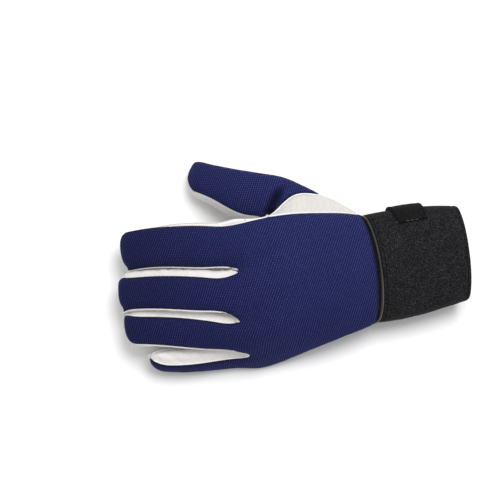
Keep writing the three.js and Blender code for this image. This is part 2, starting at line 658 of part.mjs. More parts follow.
// The part stands with the middle of its foot print at the origin.
const box = new THREE.Box3().setFromObject(group);
const shift = V(-(box.min.x + box.max.x) / 2, -(box.min.y + box.max.y) / 2, -box.min.z);
for (const mesh of group.children) mesh.geometry.translate(shift.x, shift.y, shift.z);

export default group;
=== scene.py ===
"""Looks of a left-hand anti-vibration work glove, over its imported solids.

Metres, +Z up. Fingers point to -X, the cuff to +X and the thumb lies on the +Y side. The glove rests on
the palm's underside, its fingertips, the thumb tip and the cuff.
"""
import math
import bmesh
import bpy
from mathutils import Matrix, Vector, kdtree, noise
from mathutils.bvhtree import BVHTree


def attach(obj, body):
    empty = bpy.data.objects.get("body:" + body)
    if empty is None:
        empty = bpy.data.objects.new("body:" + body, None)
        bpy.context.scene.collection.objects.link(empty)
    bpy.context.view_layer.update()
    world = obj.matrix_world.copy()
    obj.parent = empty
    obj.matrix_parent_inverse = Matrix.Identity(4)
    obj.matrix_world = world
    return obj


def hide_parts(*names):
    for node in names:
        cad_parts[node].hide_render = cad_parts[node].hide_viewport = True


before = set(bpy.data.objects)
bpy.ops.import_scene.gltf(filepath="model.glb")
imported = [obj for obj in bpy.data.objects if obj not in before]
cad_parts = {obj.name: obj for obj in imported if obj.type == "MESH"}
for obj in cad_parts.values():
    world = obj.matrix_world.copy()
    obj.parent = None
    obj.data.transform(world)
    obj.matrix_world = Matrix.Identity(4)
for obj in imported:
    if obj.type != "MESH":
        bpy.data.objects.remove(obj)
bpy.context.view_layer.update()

MM = 0.001

# The camera looks steeply down on the glove, as in the photograph, with the fingers to the left.
aim = Vector((-25.69, 0.77, 29.0)) * MM
azimuth, elevation = math.radians(-10), math.radians(78)
to_camera = Vector((math.sin(azimuth) * math.cos(elevation), -math.cos(azimuth) * math.cos(elevation),
                    math.sin(elevation)))
to_right = Vector((math.cos(azimuth), math.sin(azimuth), 0))
to_top = to_camera.cross(to_right)
camera = bpy.data.objects.new("camera", bpy.data.cameras.new("camera"))
camera.data.sensor_width = 36
camera.data.lens = 102.857
camera.data.clip_start = 0.01
turned = Matrix((to_right, to_top, to_camera)).transposed().to_4x4()
# The eye that the shapes are fitted from. The camera itself stands one pixel up and to the left of it, which
# centres the whole outline on the photograph's and moves no shape.
eye = aim + to_camera
PIXEL = 0.70 * MM
camera.matrix_world = Matrix.Translation(eye + (to_top - to_right) * PIXEL) @ turned
bpy.context.scene.collection.objects.link(camera)
bpy.context.scene.camera = camera
bpy.context.scene.view_settings.view_transform = "Standard"


# Knit back of the hand and fingers.
# One panel of navy cotton-and-nylon rib knit, cut with the four finger backs in one piece. Its edges are
# turned in and sewn to the leather, so that the cloth rolls down into each seam.
SKIN = ["knit_back", "thumb_knit_back", "leather_palm", "fourchette_index_middle", "fourchette_middle_ring",
        "fourchette_ring_little", "thumb_leather_front", "thumb_keystone", "cuff_band"]
# The room between a panel's rim and the next panel is never wider than this.
RIM_ROOM = 0.9 * MM
# Middle lines of the fingers from the wrist to the tips, of the thumb and of the cuff, in millimetres.
MIDDLES = [
    [(50, 2, 27), (-29, 2, 42), (-94, 18, 23), (-108, 20, 14)],
    [(50, -16, 26), (-38, -28, 37), (-101, -14, 23), (-116, -11, 14)],
    [(50, -32, 24), (-39, -50, 26), (-100, -40, 20), (-116, -36, 13)],
    [(50, -46, 20), (-34, -62, 12), (-87, -62, 10), (-104, -58, 9.5)],
    [(20, 14, 37), (-24, 47, 20), (-51, 65, 8)],
    [(50, -23, 22), (124, -25, 25)],
]


def merged(node):
    """The node's solid with its loose triangles joined."""
    bm = bmesh.new()
    bm.from_mesh(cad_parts[node].data)
    bmesh.ops.remove_doubles(bm, verts=bm.verts, dist=0.02 * MM)
    bm.normal_update()
    return bm


solid_trees = {node: BVHTree.FromBMesh(merged(node)) for node in SKIN}


def clamp(value, low=0.0, high=1.0):
    return max(low, min(high, value))


def fade(off, width):
    """1 at no distance, falling smoothly to 0 beyond width."""
    return math.exp(-(off / width) ** 2)


def from_middle(p):
    """Vector from the nearest middle line of a finger, the thumb or the cuff to p."""
    best = None
    for line in MIDDLES:
        for a, b in zip(line, line[1:]):
            a, b = Vector(a) * MM, Vector(b) * MM
            t = clamp((p - a).dot(b - a) / (b - a).length_squared)
            away = p - a.lerp(b, t)
            if best is None or away.length < best.length:
                best = away
    return best


def outer_sheet(node):
    """The outside of a panel alone: its rims face the next panel closely, and its inside faces the hand."""
    bm = merged(node)
    others = [tree for name, tree in solid_trees.items() if name != node]
    rims = set()
    for face in bm.faces:
        start = face.calc_center_median() + face.normal * 0.02 * MM
        if any(tree.ray_cast(start, face.normal, RIM_ROOM)[0] is not None for tree in others):
            rims.add(face)
    left = set(bm.faces) - rims
    outside = set()
    while left:
        group, front = set(), [left.pop()]
        while front:
            face = front.pop()
            group.add(face)
            for edge in face.edges:
                for other in edge.link_faces:
                    if other in left:
                        left.remove(other)
                        front.append(other)
        vote = sum(f.calc_area() * f.normal.dot(from_middle(f.calc_center_median()).normalized()) for f in group)
        if vote > 0:
            outside |= group
    bmesh.ops.delete(bm, geom=[f for f in bm.faces if f not in outside], context="FACES")
    bmesh.ops.join_triangles(bm, faces=bm.faces, angle_face_threshold=math.radians(60),
                             angle_shape_threshold=math.radians(60))
    return bm


def smoothed(bm, name, level):
    """bm's faces as one smooth mesh, with its open edges kept."""
    mesh = bpy.data.meshes.new(name)
    bm.to_mesh(mesh)
    bm.free()
    shape = bpy.data.objects.new(name + "_cage", mesh)
    bpy.context.scene.collection.objects.link(shape)
    round_off = shape.modifiers.new("round", "SUBSURF")
    round_off.levels = round_off.render_levels = level
    bpy.context.view_layer.update()
    seen = shape.evaluated_get(bpy.context.evaluated_depsgraph_get())
    smooth_mesh = bpy.data.meshes.new_from_object(seen)
    bpy.data.objects.remove(shape)
    bpy.data.meshes.remove(mesh)
    smooth_mesh.name = name
    smooth_mesh.shade_smooth()
    return smooth_mesh


def open_loops(mesh):
    """The open edges of a mesh as lines of (point, normal), each one closed loop."""
    bm = bmesh.new()
    bm.from_mesh(mesh)
    bm.normal_update()
    left = {edge for edge in bm.edges if edge.is_boundary}
    loops = []
    while left:
        edge = min(left, key=lambda e: e.index)
        vert = edge.verts[0]
        line = []
        while edge is not None:
            left.discard(edge)
            line.append((vert.co.copy(), vert.normal.copy()))
            vert = edge.other_vert(vert)
            edge = next((e for e in vert.link_edges if e in left), None)
        loops.append(line)
    bm.free()
    return loops


def tree_of(points):
    """A tree that finds the nearest of some points."""
    tree = kdtree.KDTree(len(points))
    for k, p in enumerate(points):
        tree.insert(p, k)
    tree.balance()
    return tree


def wave(p, size, seed=0.0):
    """Smooth noise from -1 to 1 with waves of about size metres."""
    return noise.noise(p / size + Vector((seed, seed * 1.7, seed * 0.3)))


def piece(name, mesh, slot, *nodes):
    """An object of the glove that takes the place of CAD nodes."""
    made = bpy.data.objects.new(name, mesh)
    bpy.context.scene.collection.objects.link(made)
    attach(made, "root")
    if nodes:
        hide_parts(*nodes)
    return made


# The outline of each panel as closed lines of (point, normal), by node.
seams = {}
# The middle of the photograph and the length of its lens, in pixels.
PICTURE_MIDDLE, LENS_PIXELS = 250, 1428.57


def photo_hit(x, y, tree):
    """The point on a surface that the photograph shows at this pixel, and the normal there."""
    ray = (to_right * (x - PICTURE_MIDDLE) + to_top * (PICTURE_MIDDLE - y)) / LENS_PIXELS - to_camera
    return tree.ray_cast(eye, ray.normalized())[:2]


def photo_point(x, y, tree):
    return photo_hit(x, y, tree)[0]


# How each finger end is drawn in on its little-finger side and on its thumb side, as shares of its width, and
# how far it leans to the thumb side, in millimetres: index, middle, ring, little finger and thumb.
ENDS = [(0.42, 0.42, 0.0), (0.55, 0.30, 0.6), (0.55, 0.28, 0.6), (0.25, 0.25, 0.0), (0.34, 0.16, 0.8)]
thumb_ball = photo_point(240, 204, solid_trees["thumb_knit_back"])


def settled(node, p, n):
    """The place of a point of the skin once the finger ends are round and the thumb's near side is full."""
    best = None
    for line, (low, high, lean) in zip(MIDDLES, ENDS):
        end, way = Vector(line[-1]) * MM, (Vector(line[-1]) - Vector(line[-2])).normalized()
        off = (p - end - way * clamp((p - end).dot(way), -12 * MM, 6 * MM)).length
        if best is None or off < best[0]:
            best = (off, end, way, low, high, lean)
    _, end, way, low, high, lean = best
    past = clamp(((p - end).dot(way) / MM + 5) / 12.5) ** 2
    aside = way.cross(Vector((0, 0, 1))).normalized()
    wide = (p - end).dot(aside)
    p = p + aside * past * (lean * MM - wide * (high if wide > 0 else low))
    if node.startswith("thumb") and node != "thumb_keystone":
        seen = p - thumb_ball
        seen -= to_camera * seen.dot(to_camera)
        under = clamp(1.4 * (0.4 - n.dot(to_top)))
        p = p - to_top * 4.4 * MM * under * fade(seen.length, 18 * MM)
    return p


def lifted(mesh, rim, lift):
    """Moves a mesh along its normals by lift(place, normal, edge distance), never under the floor.

    It keeps the edge distance as an attribute and gives back the normals.
    """
    edge = mesh.attributes.new("edge", "FLOAT", "POINT")
    places = [v.co.copy() for v in mesh.vertices]
    normals = [v.normal.copy() for v in mesh.vertices]
    for k, (p, n) in enumerate(zip(places, normals)):
        away = rim.find(p)[2]
        edge.data[k].value = away
        moved = p + n * lift(p, n, away)
        mesh.vertices[k].co = Vector((moved.x, moved.y, max(moved.z, 0.0)))
    return normals


def panel(node, level, lift, slot, wall, mat):
    """A sewn panel: its smooth outside, lifted off the CAD's, with a wall of cloth or leather behind it."""
    mesh = smoothed(outer_sheet(node), node + "_panel", level)
    places = [settled(node, v.co.copy(), v.normal.copy()) for v in mesh.vertices]
    for v, p in zip(mesh.vertices, places):
        v.co = p
    mesh.update()
    seams[node] = open_loops(mesh)
    lifted(mesh, tree_of([p for line in seams[node] for p, _ in line]), lift)
    made = piece(node + "_panel", mesh, slot, node)
    made.data.materials.append(mat)
    thick = made.modifiers.new("wall", "SOLIDIFY")
    thick.thickness = wall
    thick.offset = -1
    return made


def tucked(away, tuck, puff):
    """How far a panel stands out at a distance from its seam: down into the seam, then full."""
    a = away / MM
    return (-tuck * fade(a, 1.0) + puff * (1 - fade(a, 5.0))) * MM


def add(mat, kind, inputs=(), **settings):
    """A new shader node; inputs are numbers or other nodes' sockets, settings its own properties."""
    node = mat.node_tree.nodes.new(kind)
    for name, value in settings.items():
        setattr(node, name, value)
    for socket, value in dict(inputs).items():
        if isinstance(value, bpy.types.NodeSocket):
            mat.node_tree.links.new(value, node.inputs[socket])
        else:
            node.inputs[socket].default_value = value
    return node


def calc(mat, operation, a, b=0.0, c=0.0):
    return add(mat, "ShaderNodeMath", {0: a, 1: b, 2: c}, operation=operation).outputs[0]


def blend(mat, factor, a, b, mode="MIX"):
    mixed = add(mat, "ShaderNodeMix", {0: factor}, data_type="RGBA", blend_type=mode)
    for socket, value in ((6, a), (7, b)):
        if isinstance(value, bpy.types.NodeSocket):
            mat.node_tree.links.new(value, mixed.inputs[socket])
        else:
            mixed.inputs[socket].default_value = (*value, 1)
    return mixed.outputs[2]


def remap(mat, value, low, high, to_low=0.0, to_high=1.0):
    return add(mat, "ShaderNodeMapRange", {0: value, 1: low, 2: high, 3: to_low, 4: to_high}).outputs[0]


def material(name, rough, **sockets):
    """A new material and its shader; sockets set the shader's own numbers."""
    mat = bpy.data.materials.new(name)
    mat.use_nodes = True
    shader = mat.node_tree.nodes["Principled BSDF"]
    shader.inputs["Roughness"].default_value = rough
    for socket, value in sockets.items():
        shader.inputs[socket.replace("_", " ")].default_value = value
    return mat, shader


def join(mat, source, shader, socket):
    mat.node_tree.links.new(source, shader.inputs[socket])


def place_in(mat):
    return add(mat, "ShaderNodeTexCoord").outputs["Object"]


def kept(mat, name):
    """A number that the piece keeps at each of its points."""
    return add(mat, "ShaderNodeAttribute", attribute_name=name).outputs["Fac"]


def bump(mat, strength, distance, height, **under):
    return add(mat, "ShaderNodeBump", {"Strength": strength, "Distance": distance, "Height": height,
                                       **under}).outputs[0]


def noise_of(mat, where, size, detail=2.0, rough=0.5):
    """Noise with lumps of about size metres, 0 to 1."""
    return add(mat, "ShaderNodeTexNoise", {"Vector": where, "Scale": 0.5 / size, "Detail": detail,
                                           "Roughness": rough}).outputs["Fac"]


def crests(mat, turns):
    """A smooth wave from 0 to 1 and back, once for each whole number of turns."""
    return calc(mat, "MULTIPLY_ADD", calc(mat, "COSINE", calc(mat, "MULTIPLY", turns, 2 * math.pi)), -0.5, 0.5)


# The ribs lie across the hand, 1.5 mm apart, each a row of small stitches set off from the next row's.
RIB, STITCH = 1.5 * MM, 1.35 * MM
knit, knit_shader = material("navy_rib_knit", 0.85, Sheen_Weight=0.05, Sheen_Roughness=0.45,
                             Specular_IOR_Level=0.08)
knit_shader.inputs["Sheen Tint"].default_value = (0.25, 0.32, 0.85, 1)
here = place_in(knit)
sway = noise_of(knit, here, 18 * MM, 1.0)
turned_here = add(knit, "ShaderNodeMapping", {"Vector": here, "Rotation": (0, 0, math.radians(28))}).outputs[0]
axes = add(knit, "ShaderNodeSeparateXYZ", {0: turned_here}).outputs
across = calc(knit, "MULTIPLY_ADD", sway, 5 * MM, axes[0])
across = calc(knit, "SUBTRACT", across, kept(knit, "tip"))
along = calc(knit, "MULTIPLY_ADD", axes[2], 0.6, axes[1])
ribs = calc(knit, "DIVIDE", across, RIB)
odd = calc(knit, "MULTIPLY", calc(knit, "FLOOR", ribs), 0.5)
rib_height = calc(knit, "POWER", crests(knit, ribs), 0.8)
loops = calc(knit, "ADD", calc(knit, "DIVIDE", along, STITCH), odd)
weave = calc(knit, "MULTIPLY", rib_height, calc(knit, "MULTIPLY_ADD", crests(knit, loops), 0.6, 0.4))
fuzz = noise_of(knit, here, 0.35 * MM, 2.0)
patchy = noise_of(knit, here, 22 * MM, 2.0)
deep_blue, blue, bright_blue = (0.004, 0.005, 0.030), (0.017, 0.021, 0.098), (0.095, 0.115, 0.42)
colour = blend(knit, remap(knit, weave, 0.05, 0.55), deep_blue, blue)
colour = blend(knit, calc(knit, "MULTIPLY", remap(knit, weave, 0.6, 1.0), remap(knit, fuzz, 0.35, 0.7)), colour,
               bright_blue)
colour = blend(knit, remap(knit, patchy, 0.3, 0.75, 0.0, 0.35), colour, (0.010, 0.013, 0.060))
# Painted shade: the knit is darkened towards the fingertips, where their backs slope away from the light.
fingerward = add(knit, "ShaderNodeSeparateXYZ", {0: here}).outputs[0]
closed = remap(knit, fingerward, -5 * MM, -110 * MM, 0.0, 0.85)
colour = blend(knit, closed, colour, (0.62, 0.58, 0.62), "MULTIPLY")
# Painted shade along the seams, where the cloth rolls down into them.
colour = blend(knit, remap(knit, kept(knit, "edge"), 0.0, 2.2 * MM, 0.85, 0.0), colour, (0.003, 0.003, 0.010))
join(knit, colour, knit_shader, "Base Color")
raised = calc(knit, "MULTIPLY_ADD", fuzz, 0.15, weave)
join(knit, bump(knit, 0.55, 0.25 * MM, raised), knit_shader, "Normal")


def index_side(p, n):
    """1 at the thumb side of the index finger's end, 0 elsewhere."""
    outward = clamp(min((-72 - p.x / MM) / 25, (p.x / MM + 118) / 12)) * clamp(2 * n.dot(to_top))
    return outward if p.y > 8 * MM else 0


def back_lift(p, n, away):
    soft = 0.35 * wave(p, 26 * MM, 3.1) + 0.15 * wave(p, 9 * MM, 8.2)
    rolled = 1.4 * index_side(p, n) * MM * math.exp(-away / (7 * MM))
    return tucked(away, 0.75, 0.35) + rolled + soft * MM * min(1, away / (6 * MM))


def follow_tips(made):
    """Keeps on a knit panel how far the cloth runs down over the fingertips, so that its ribs follow it."""
    tip = made.data.attributes.new("tip", "FLOAT", "POINT")
    ends = [(Vector(line[-1]) * MM, (Vector(line[-1]) - Vector(line[-2])).normalized()) for line in MIDDLES[:5]]
    for k, v in enumerate(made.data.vertices):
        end, way = min(ends, key=lambda e: (v.co - e[0]).length)
        past = clamp(((v.co - end).dot(way) / MM + 6) / 14)
        tip.data[k].value = past * max(0, end.z + 10 * MM - v.co.z)


follow_tips(panel("knit_back", 2, back_lift, "navy_knit", 1.4 * MM, knit))

# Knit back of the thumb.
# A separate panel of the same knit, sewn to the leather all round. The bent thumb pushes one deep fold
# into it above the web.


def fine_line(points, step=0.6 * MM):
    """Points along a line, about step apart."""
    fine = []
    for a, b in zip(points, points[1:]):
        count = max(1, int((b - a).length / step))
        fine += [a.lerp(b, k / count) for k in range(count)]
    return fine + points[-1:]


# The pixels of the photograph that the fold runs through, from the wrist side to the web.
FOLD = ((284, 183), (279, 189), (275, 196), (271.5, 203), (269.5, 209), (268, 213))
fold = [photo_point(x, y, solid_trees["thumb_knit_back"]) for x, y in FOLD]
fold_line = fine_line([p for p in fold if p is not None])
fold_tree = tree_of(fold_line)


def thumb_lift(p, n, away):
    at, k, off = fold_tree.find(p)
    down = min(1, (k + 3) / (0.45 * len(fold_line)))
    right = (p - at).dot(to_right) > 0
    crease = -5.6 * down * fade(off, (2.3 if right else 4.0) * MM)
    ridge = (1.5 if right else 1.0) * down * fade(off - 6.5 * MM, 3.0 * MM)
    soft = 0.3 * wave(p, 20 * MM, 1.4)
    return tucked(away, 0.75, 0.3) + (crease + ridge + soft) * MM * min(1, 0.6 + away / (5 * MM))


thumb_back = panel("thumb_knit_back", 3, thumb_lift, "navy_knit", 1.4 * MM, knit)
# Painted shade down in the fold: the edge distance that darkens the knit is cut to the distance from the fold.
seen_fold = tree_of([Vector((q.dot(to_right), q.dot(to_top), 0)) for q in fold_line])
for v in thumb_back.data.vertices:
    _, k, off = seen_fold.find(Vector((v.co.dot(to_right), v.co.dot(to_top), 0)))
    near = thumb_back.data.attributes["edge"].data[v.index]
    near.value = min(near.value, 0.5 * max(0, off - 0.9 * MM) + max(0, 0.4 - k / len(fold_line)) * 5 * MM)
follow_tips(thumb_back)

# Leather of the palm and finger fronts.
# White grain goatskin over a thin gel pad, cut in one piece and turned in at its edges, with a stitched
# line just inside the outline of each finger front and creases where the fingers bend.


def leather_of(name, tone, wrinkled):
    """White grain leather: fine pebbles, pores and drawn wrinkles, with painted shade in the wrinkles, along the
    seams and in the stitched grooves.
    """
    mat, shader = material(name, 0.52, Sheen_Weight=0.06, Specular_IOR_Level=0.35)
    here = place_in(mat)
    stray = add(mat, "ShaderNodeTexNoise", {"Vector": here, "Scale": 60.0, "Detail": 2.0}).outputs["Color"]
    bent = add(mat, "ShaderNodeVectorMath", {0: stray, 1: (0.006, 0.006, 0.006)},
               operation="MULTIPLY").outputs[0]
    bent = add(mat, "ShaderNodeVectorMath", {0: here, 1: bent}, operation="ADD").outputs[0]
    pebble = add(mat, "ShaderNodeTexVoronoi", {"Vector": bent, "Scale": 750.0},
                 feature="DISTANCE_TO_EDGE").outputs[0]
    long_way = add(mat, "ShaderNodeMapping", {"Vector": bent, "Rotation": (0, 0, math.radians(-35)),
                                              "Scale": (1.0, 0.28, 1.0)}).outputs[0]
    drawn = add(mat, "ShaderNodeTexVoronoi", {"Vector": long_way, "Scale": 320.0},
                feature="DISTANCE_TO_EDGE").outputs[0]
    cloudy = noise_of(mat, here, 16 * MM, 3.0)
    wrinkles = remap(mat, drawn, 0.0, 0.10, 0.0, wrinkled)
    grain = calc(mat, "MULTIPLY_ADD", remap(mat, pebble, 0.0, 0.12), 0.45, wrinkles)
    grain = calc(mat, "MULTIPLY_ADD", noise_of(mat, here, 0.5 * MM, 3.0), 0.5, grain)
    groove = calc(mat, "SUBTRACT", 1.0, remap(mat, kept(mat, "sewn"), 0.0, 0.9 * MM))
    duller = tuple(c * k for c, k in zip(tone, (0.955, 0.95, 0.94)))
    colour = blend(mat, remap(mat, cloudy, 0.25, 0.75), tone, duller)
    # Painted shade down in the drawn wrinkles.
    painted_wrinkle_shade = remap(mat, drawn, 0.0, 0.05 * (1 + wrinkled), 0.16 * wrinkled, 0.0)
    colour = blend(mat, painted_wrinkle_shade, colour, (0.42, 0.39, 0.36))
    # Painted shade along the seams, where the leather turns in.
    colour = blend(mat, remap(mat, kept(mat, "edge"), 0.0, 0.8 * MM, 0.35, 0.0), colour, (0.40, 0.37, 0.35))
    # Painted shade in the grooves of the stitched lines and creases.
    colour = blend(mat, calc(mat, "MULTIPLY", groove, 0.30), colour, (0.36, 0.34, 0.33))
    join(mat, colour, shader, "Base Color")
    pebbled = bump(mat, 0.2 + 0.3 * wrinkled, 0.25 * MM, grain)
    dip = calc(mat, "MULTIPLY", groove, -1.0)
    join(mat, bump(mat, 0.9, 0.5 * MM, dip, Normal=pebbled), shader, "Normal")
    join(mat, remap(mat, grain, 0.2, 1.3, 0.62, 0.46), shader, "Roughness")
    return mat


leather = leather_of("white_grain_leather", (0.72, 0.70, 0.69), 0.6)


def mark_sewn(made, points=()):
    """Keeps on a panel how far each point lies from its stitched lines, for the groove they pull in and the
    painted shade in it.
    """
    found = tree_of(points or [Vector((0, 0, 1))])
    sewn = made.data.attributes.new("sewn", "FLOAT", "POINT")
    for k, v in enumerate(made.data.vertices):
        sewn.data[k].value = found.find(v.co)[2]


def surface_of(made):
    mesh = made.data
    return BVHTree.FromPolygons([v.co for v in mesh.vertices], [p.vertices for p in mesh.polygons])


# A stitched line of fewer points than this is left out.
LEAST_RUN = 9


def inset(node, made, distance):
    """Lines on a panel at a distance inside its outline, with their normals."""
    surface = surface_of(made)
    rim = tree_of([p for line in seams[node] for p, _ in line])
    lines = []
    for loop in seams[node]:
        line = []
        for k, (p, n) in enumerate(loop):
            ahead = (loop[(k + 3) % len(loop)][0] - loop[k - 3][0]).normalized()
            for side in (1, -1):
                at, normal, _, off = surface.find_nearest(p + n.cross(ahead) * side * distance)
                if at is not None and off < 1.2 * MM and rim.find(at)[2] > 0.86 * distance:
                    line.append((at, normal))
                    break
            else:
                lines.append(line)
                line = []
        lines.append(line)
    return [line for line in lines if len(line) >= LEAST_RUN]


def from_below(x, y):
    """The place on the CAD palm's underside over a place on the floor, millimetres, or None."""
    return solid_trees["leather_palm"].ray_cast(Vector((x, y, -5)) * MM, Vector((0, 0, 1)))[0]


# Creases of the index, middle and ring finger, as on the palm of the rear glove: how far along each finger they
# lie, from the knuckle to the last joint.
BENDS = ((0.215, 0.50), (0.04, 0.38), (0.0,))
bends = []
for line, shares in zip(MIDDLES, BENDS):
    root, last = Vector(line[1]), Vector(line[2])
    way = (last - root).normalized()
    for share in shares:
        spot = root.lerp(last, share)
        row = [from_below(spot.x - way.y * k + 0.1 * abs(k), spot.y + way.x * k) for k in range(-10, 11, 2)]
        bends += fine_line([q for q in row if q is not None])
bend_tree = tree_of(bends)
# Beside the index finger's root the leather bulges out towards the thumb.
web_place = photo_point(234, 228, solid_trees["knit_back"]) + to_top * 4 * MM


def palm_lift(p, n, away):
    soft = 0.5 * wave(p, 16 * MM, 5.0) + 0.25 * wave(p, 7 * MM, 2.0)
    bent = -0.9 * fade(bend_tree.find(p)[2], 1.6 * MM)
    web = 4.0 * fade((p - web_place).length, 11 * MM) * max(0, n.dot(to_top)) * min(1, 0.3 + away / (3 * MM))
    sideways = (web - 1.5 * index_side(p, n)) * MM
    return tucked(away, 0.6, 0.5) + sideways + (soft + bent) * MM * min(1, away / (5 * MM))


palm = panel("leather_palm", 2, palm_lift, "white_leather", 1.6 * MM, leather)
# The stitched lines run along the fingers only, from here to their ends.
FINGERS_START = -34 * MM
palm_lines = [[q for q in line if q[0].x < FINGERS_START] for line in inset("leather_palm", palm, 2.6 * MM)]
palm_lines = [line for line in palm_lines if len(line) >= LEAST_RUN]
mark_sewn(palm, [p for line in palm_lines for p, _ in line] + bends)

# Side walls of the fingers.
# Each pair of facing finger sides is one narrow strip of thinner leather that turns round the end of the
# slit. The wall on the side of the little finger bulges up into the slit and is gathered in a few folds; the
# wall over it is pressed back.
SIDE_WALLS = ["fourchette_index_middle", "fourchette_middle_ring", "fourchette_ring_little"]


def side_lift(p, n, away):
    upper = clamp(2.5 * n.dot(to_top), -1, 1)
    bulge = (2.3 if upper > 0 else 0.8) * upper * (1 - fade(away, 2.5 * MM))
    fold = wave(Vector((p.x * 1.5 + p.y, p.y * 0.5, p.z * 0.4)), 9 * MM, 6.0)
    fold = 0.9 * (1 - min(1, abs(fold) * 5)) - 0.3 + 0.4 * wave(p, 5 * MM, 9.0)
    return tucked(away, 0.3, 0.3) + (bulge - 0.6 * fold) * MM * min(1, away / (3 * MM))


for node in SIDE_WALLS:
    mark_sewn(panel(node, 3, side_lift, "white_leather", 1.0 * MM, leather))

# Leather front of the thumb.
# A panel of the same goatskin round the front and sides of the thumb, sewn to the knit back, the web of the
# palm and the wedge.


def front_lift(p, n, away):
    soft = 0.45 * wave(p, 13 * MM, 4.0) + 0.2 * wave(p, 6 * MM, 7.0)
    return tucked(away, 0.6, 0.45) + soft * MM * min(1, away / (4 * MM))


mark_sewn(panel("thumb_leather_front", 3, front_lift, "white_leather", 1.6 * MM, leather))

# Leather wedge between thumb and wrist.
# A crescent of coarser leather with drawn wrinkles, set in over the thumb joint so that the thumb can bend.
# Its tone, greyer than the palm leather's, is painted shade where the key light falls full on the wedge.
shaded_wedge_leather = leather_of("shaded_wedge_leather", (0.57, 0.548, 0.525), 1.15)


def wedge_lift(p, n, away):
    soft = 0.4 * wave(p, 9 * MM, 2.5) + 0.15 * wave(p, 3.5 * MM, 1.5)
    return tucked(away, 0.6, 0.9) + soft * MM * min(1, away / (3 * MM))


mark_sewn(panel("thumb_keystone", 3, wedge_lift, "white_leather", 1.6 * MM, shaded_wedge_leather))

# Seam welts.
# The turned leather edge that stands up as a thin bright cord along every seam.


def tube(name, lines, radius, slot, mat):
    """Thin round cords along lines of points, as one piece."""
    curve = bpy.data.curves.new(name, "CURVE")
    curve.dimensions = "3D"
    curve.bevel_depth = radius
    curve.bevel_resolution = 2
    curve.use_fill_caps = True
    for line, closed in lines:
        spline = curve.splines.new("POLY")
        spline.points.add(len(line) - 1)
        for point, place in zip(spline.points, line):
            point.co = (*place, 1)
        spline.use_cyclic_u = closed
    shape = bpy.data.objects.new(name + "_path", curve)
    bpy.context.scene.collection.objects.link(shape)
    bpy.context.view_layer.update()
    mesh = bpy.data.meshes.new_from_object(shape.evaluated_get(bpy.context.evaluated_depsgraph_get()))
    bpy.data.objects.remove(shape)
    mesh.name = name
    mesh.shade_smooth()
    made = piece(name, mesh, slot)
    made.data.materials.clear()
    made.data.materials.append(mat)
    return made


welt, welt_shader = material("turned_leather_edge", 0.5, Sheen_Weight=0.05)
tone = noise_of(welt, place_in(welt), 1.5 * MM, 3.0)
join(welt, blend(welt, remap(welt, tone, 0.3, 0.7), (0.68, 0.665, 0.65), (0.80, 0.79, 0.785)), welt_shader,
     "Base Color")
join(welt, bump(welt, 0.3, 0.15 * MM, tone), welt_shader, "Normal")
WELT_RADIUS = 0.55 * MM
# How deep the cord lies in the seam, in millimetres: where the photograph shows none of it, and elsewhere.
SUNK, PROUD = 1.1, 0.28
welts, sewn_up = [], []
for node in SIDE_WALLS + ["thumb_leather_front", "thumb_keystone", "leather_palm"]:
    done = tree_of(sewn_up) if sewn_up else None
    for loop in seams[node]:
        hidden = [n.x < -0.35 or
                  n.dot(to_top) > 0.2 and (node == "thumb_leather_front" or index_side(p, n) > 0.3)
                  for p, n in loop]
        places = [p - n * (SUNK if deep else PROUD) * MM for (p, n), deep in zip(loop, hidden)]
        places = [Vector((p.x, p.y, max(p.z, WELT_RADIUS))) for p in places]
        free = [done is None or done.find(p)[2] > 1.0 * MM for p, _ in loop]
        if all(free):
            welts.append((places, True))
            continue
        start = free.index(False)
        run = []
        for k in range(start, start + len(loop) + 1):
            if free[k % len(loop)] and k < start + len(loop):
                run.append(places[k % len(loop)])
            else:
                if len(run) > 3:
                    welts.append((run, False))
                run = []
    sewn_up += [p for loop in seams[node] for p, _ in loop]
tube("seam_welts", welts, WELT_RADIUS, "white_leather", welt)

# Palm seams.
# Grey thread pulled tight into the leather: the edge of the pad, across the palm from the thumb's crotch, and
# the line round the base of the thumb. A third, short seam crosses the strip between thumb and hand.
palm_tree = surface_of(palm)


def under_palm(places):
    """A line on the palm's underside over places on the floor, in millimetres, 1.2 mm apart."""
    line = []
    for spot in fine_line([Vector((x, y, -5)) * MM for x, y in places], 1.2 * MM):
        at, normal, _, _ = palm_tree.ray_cast(spot, Vector((0, 0, 1)))
        if at is not None:
            line.append(at + normal * 0.08 * MM)
    return line


def thread_of(name, rough, lump, dark, light):
    """Twisted thread, darker and lighter in lumps of about lump metres."""
    mat, shader = material(name, rough)
    join(mat, blend(mat, noise_of(mat, place_in(mat), lump), dark, light), shader, "Base Color")
    return mat


# Places on the floor under the two lines, in millimetres, as the rear glove shows them; the thumb's line is
# hidden there from its middle to the heel of the hand.
PAD_EDGE = ((-10, 11), (-15, 8), (-19, 3.5), (-21, -2), (-21.7, -12), (-21.6, -25), (-22, -38), (-22.6, -50),
            (-25, -66))
THUMB_BASE = ((-10, 11), (-10.5, 0), (-9, -12), (-5, -22), (1, -30), (10, -36), (22, -40), (36, -41))
palm_seams = [under_palm(PAD_EDGE), under_palm(THUMB_BASE)]
# The strip itself lies this far towards the camera; what a line of sight meets deeper down is the inside.
STRIP_HEIGHT = 50 * MM
strip_seam = [photo_point(244, 217 + 0.25 * k, palm_tree) for k in range(20)]
strip_seam = [q for q in strip_seam if q is not None and q.dot(to_camera) > STRIP_HEIGHT]
palm_seams.append([q + to_camera * 0.1 * MM for q in strip_seam])
seam_thread = thread_of("seam_thread", 0.7, 1.0 * MM, (0.20, 0.19, 0.18), (0.42, 0.40, 0.38))
tube("palm_seams", [(line, False) for line in palm_seams], 0.24 * MM, "white_leather", seam_thread)

# Inner band of the cuff.
# A plain knitted-elastic tube, sewn to the wrist edge of the hand. It shows in the gap beside the strap and
# inside the open end.


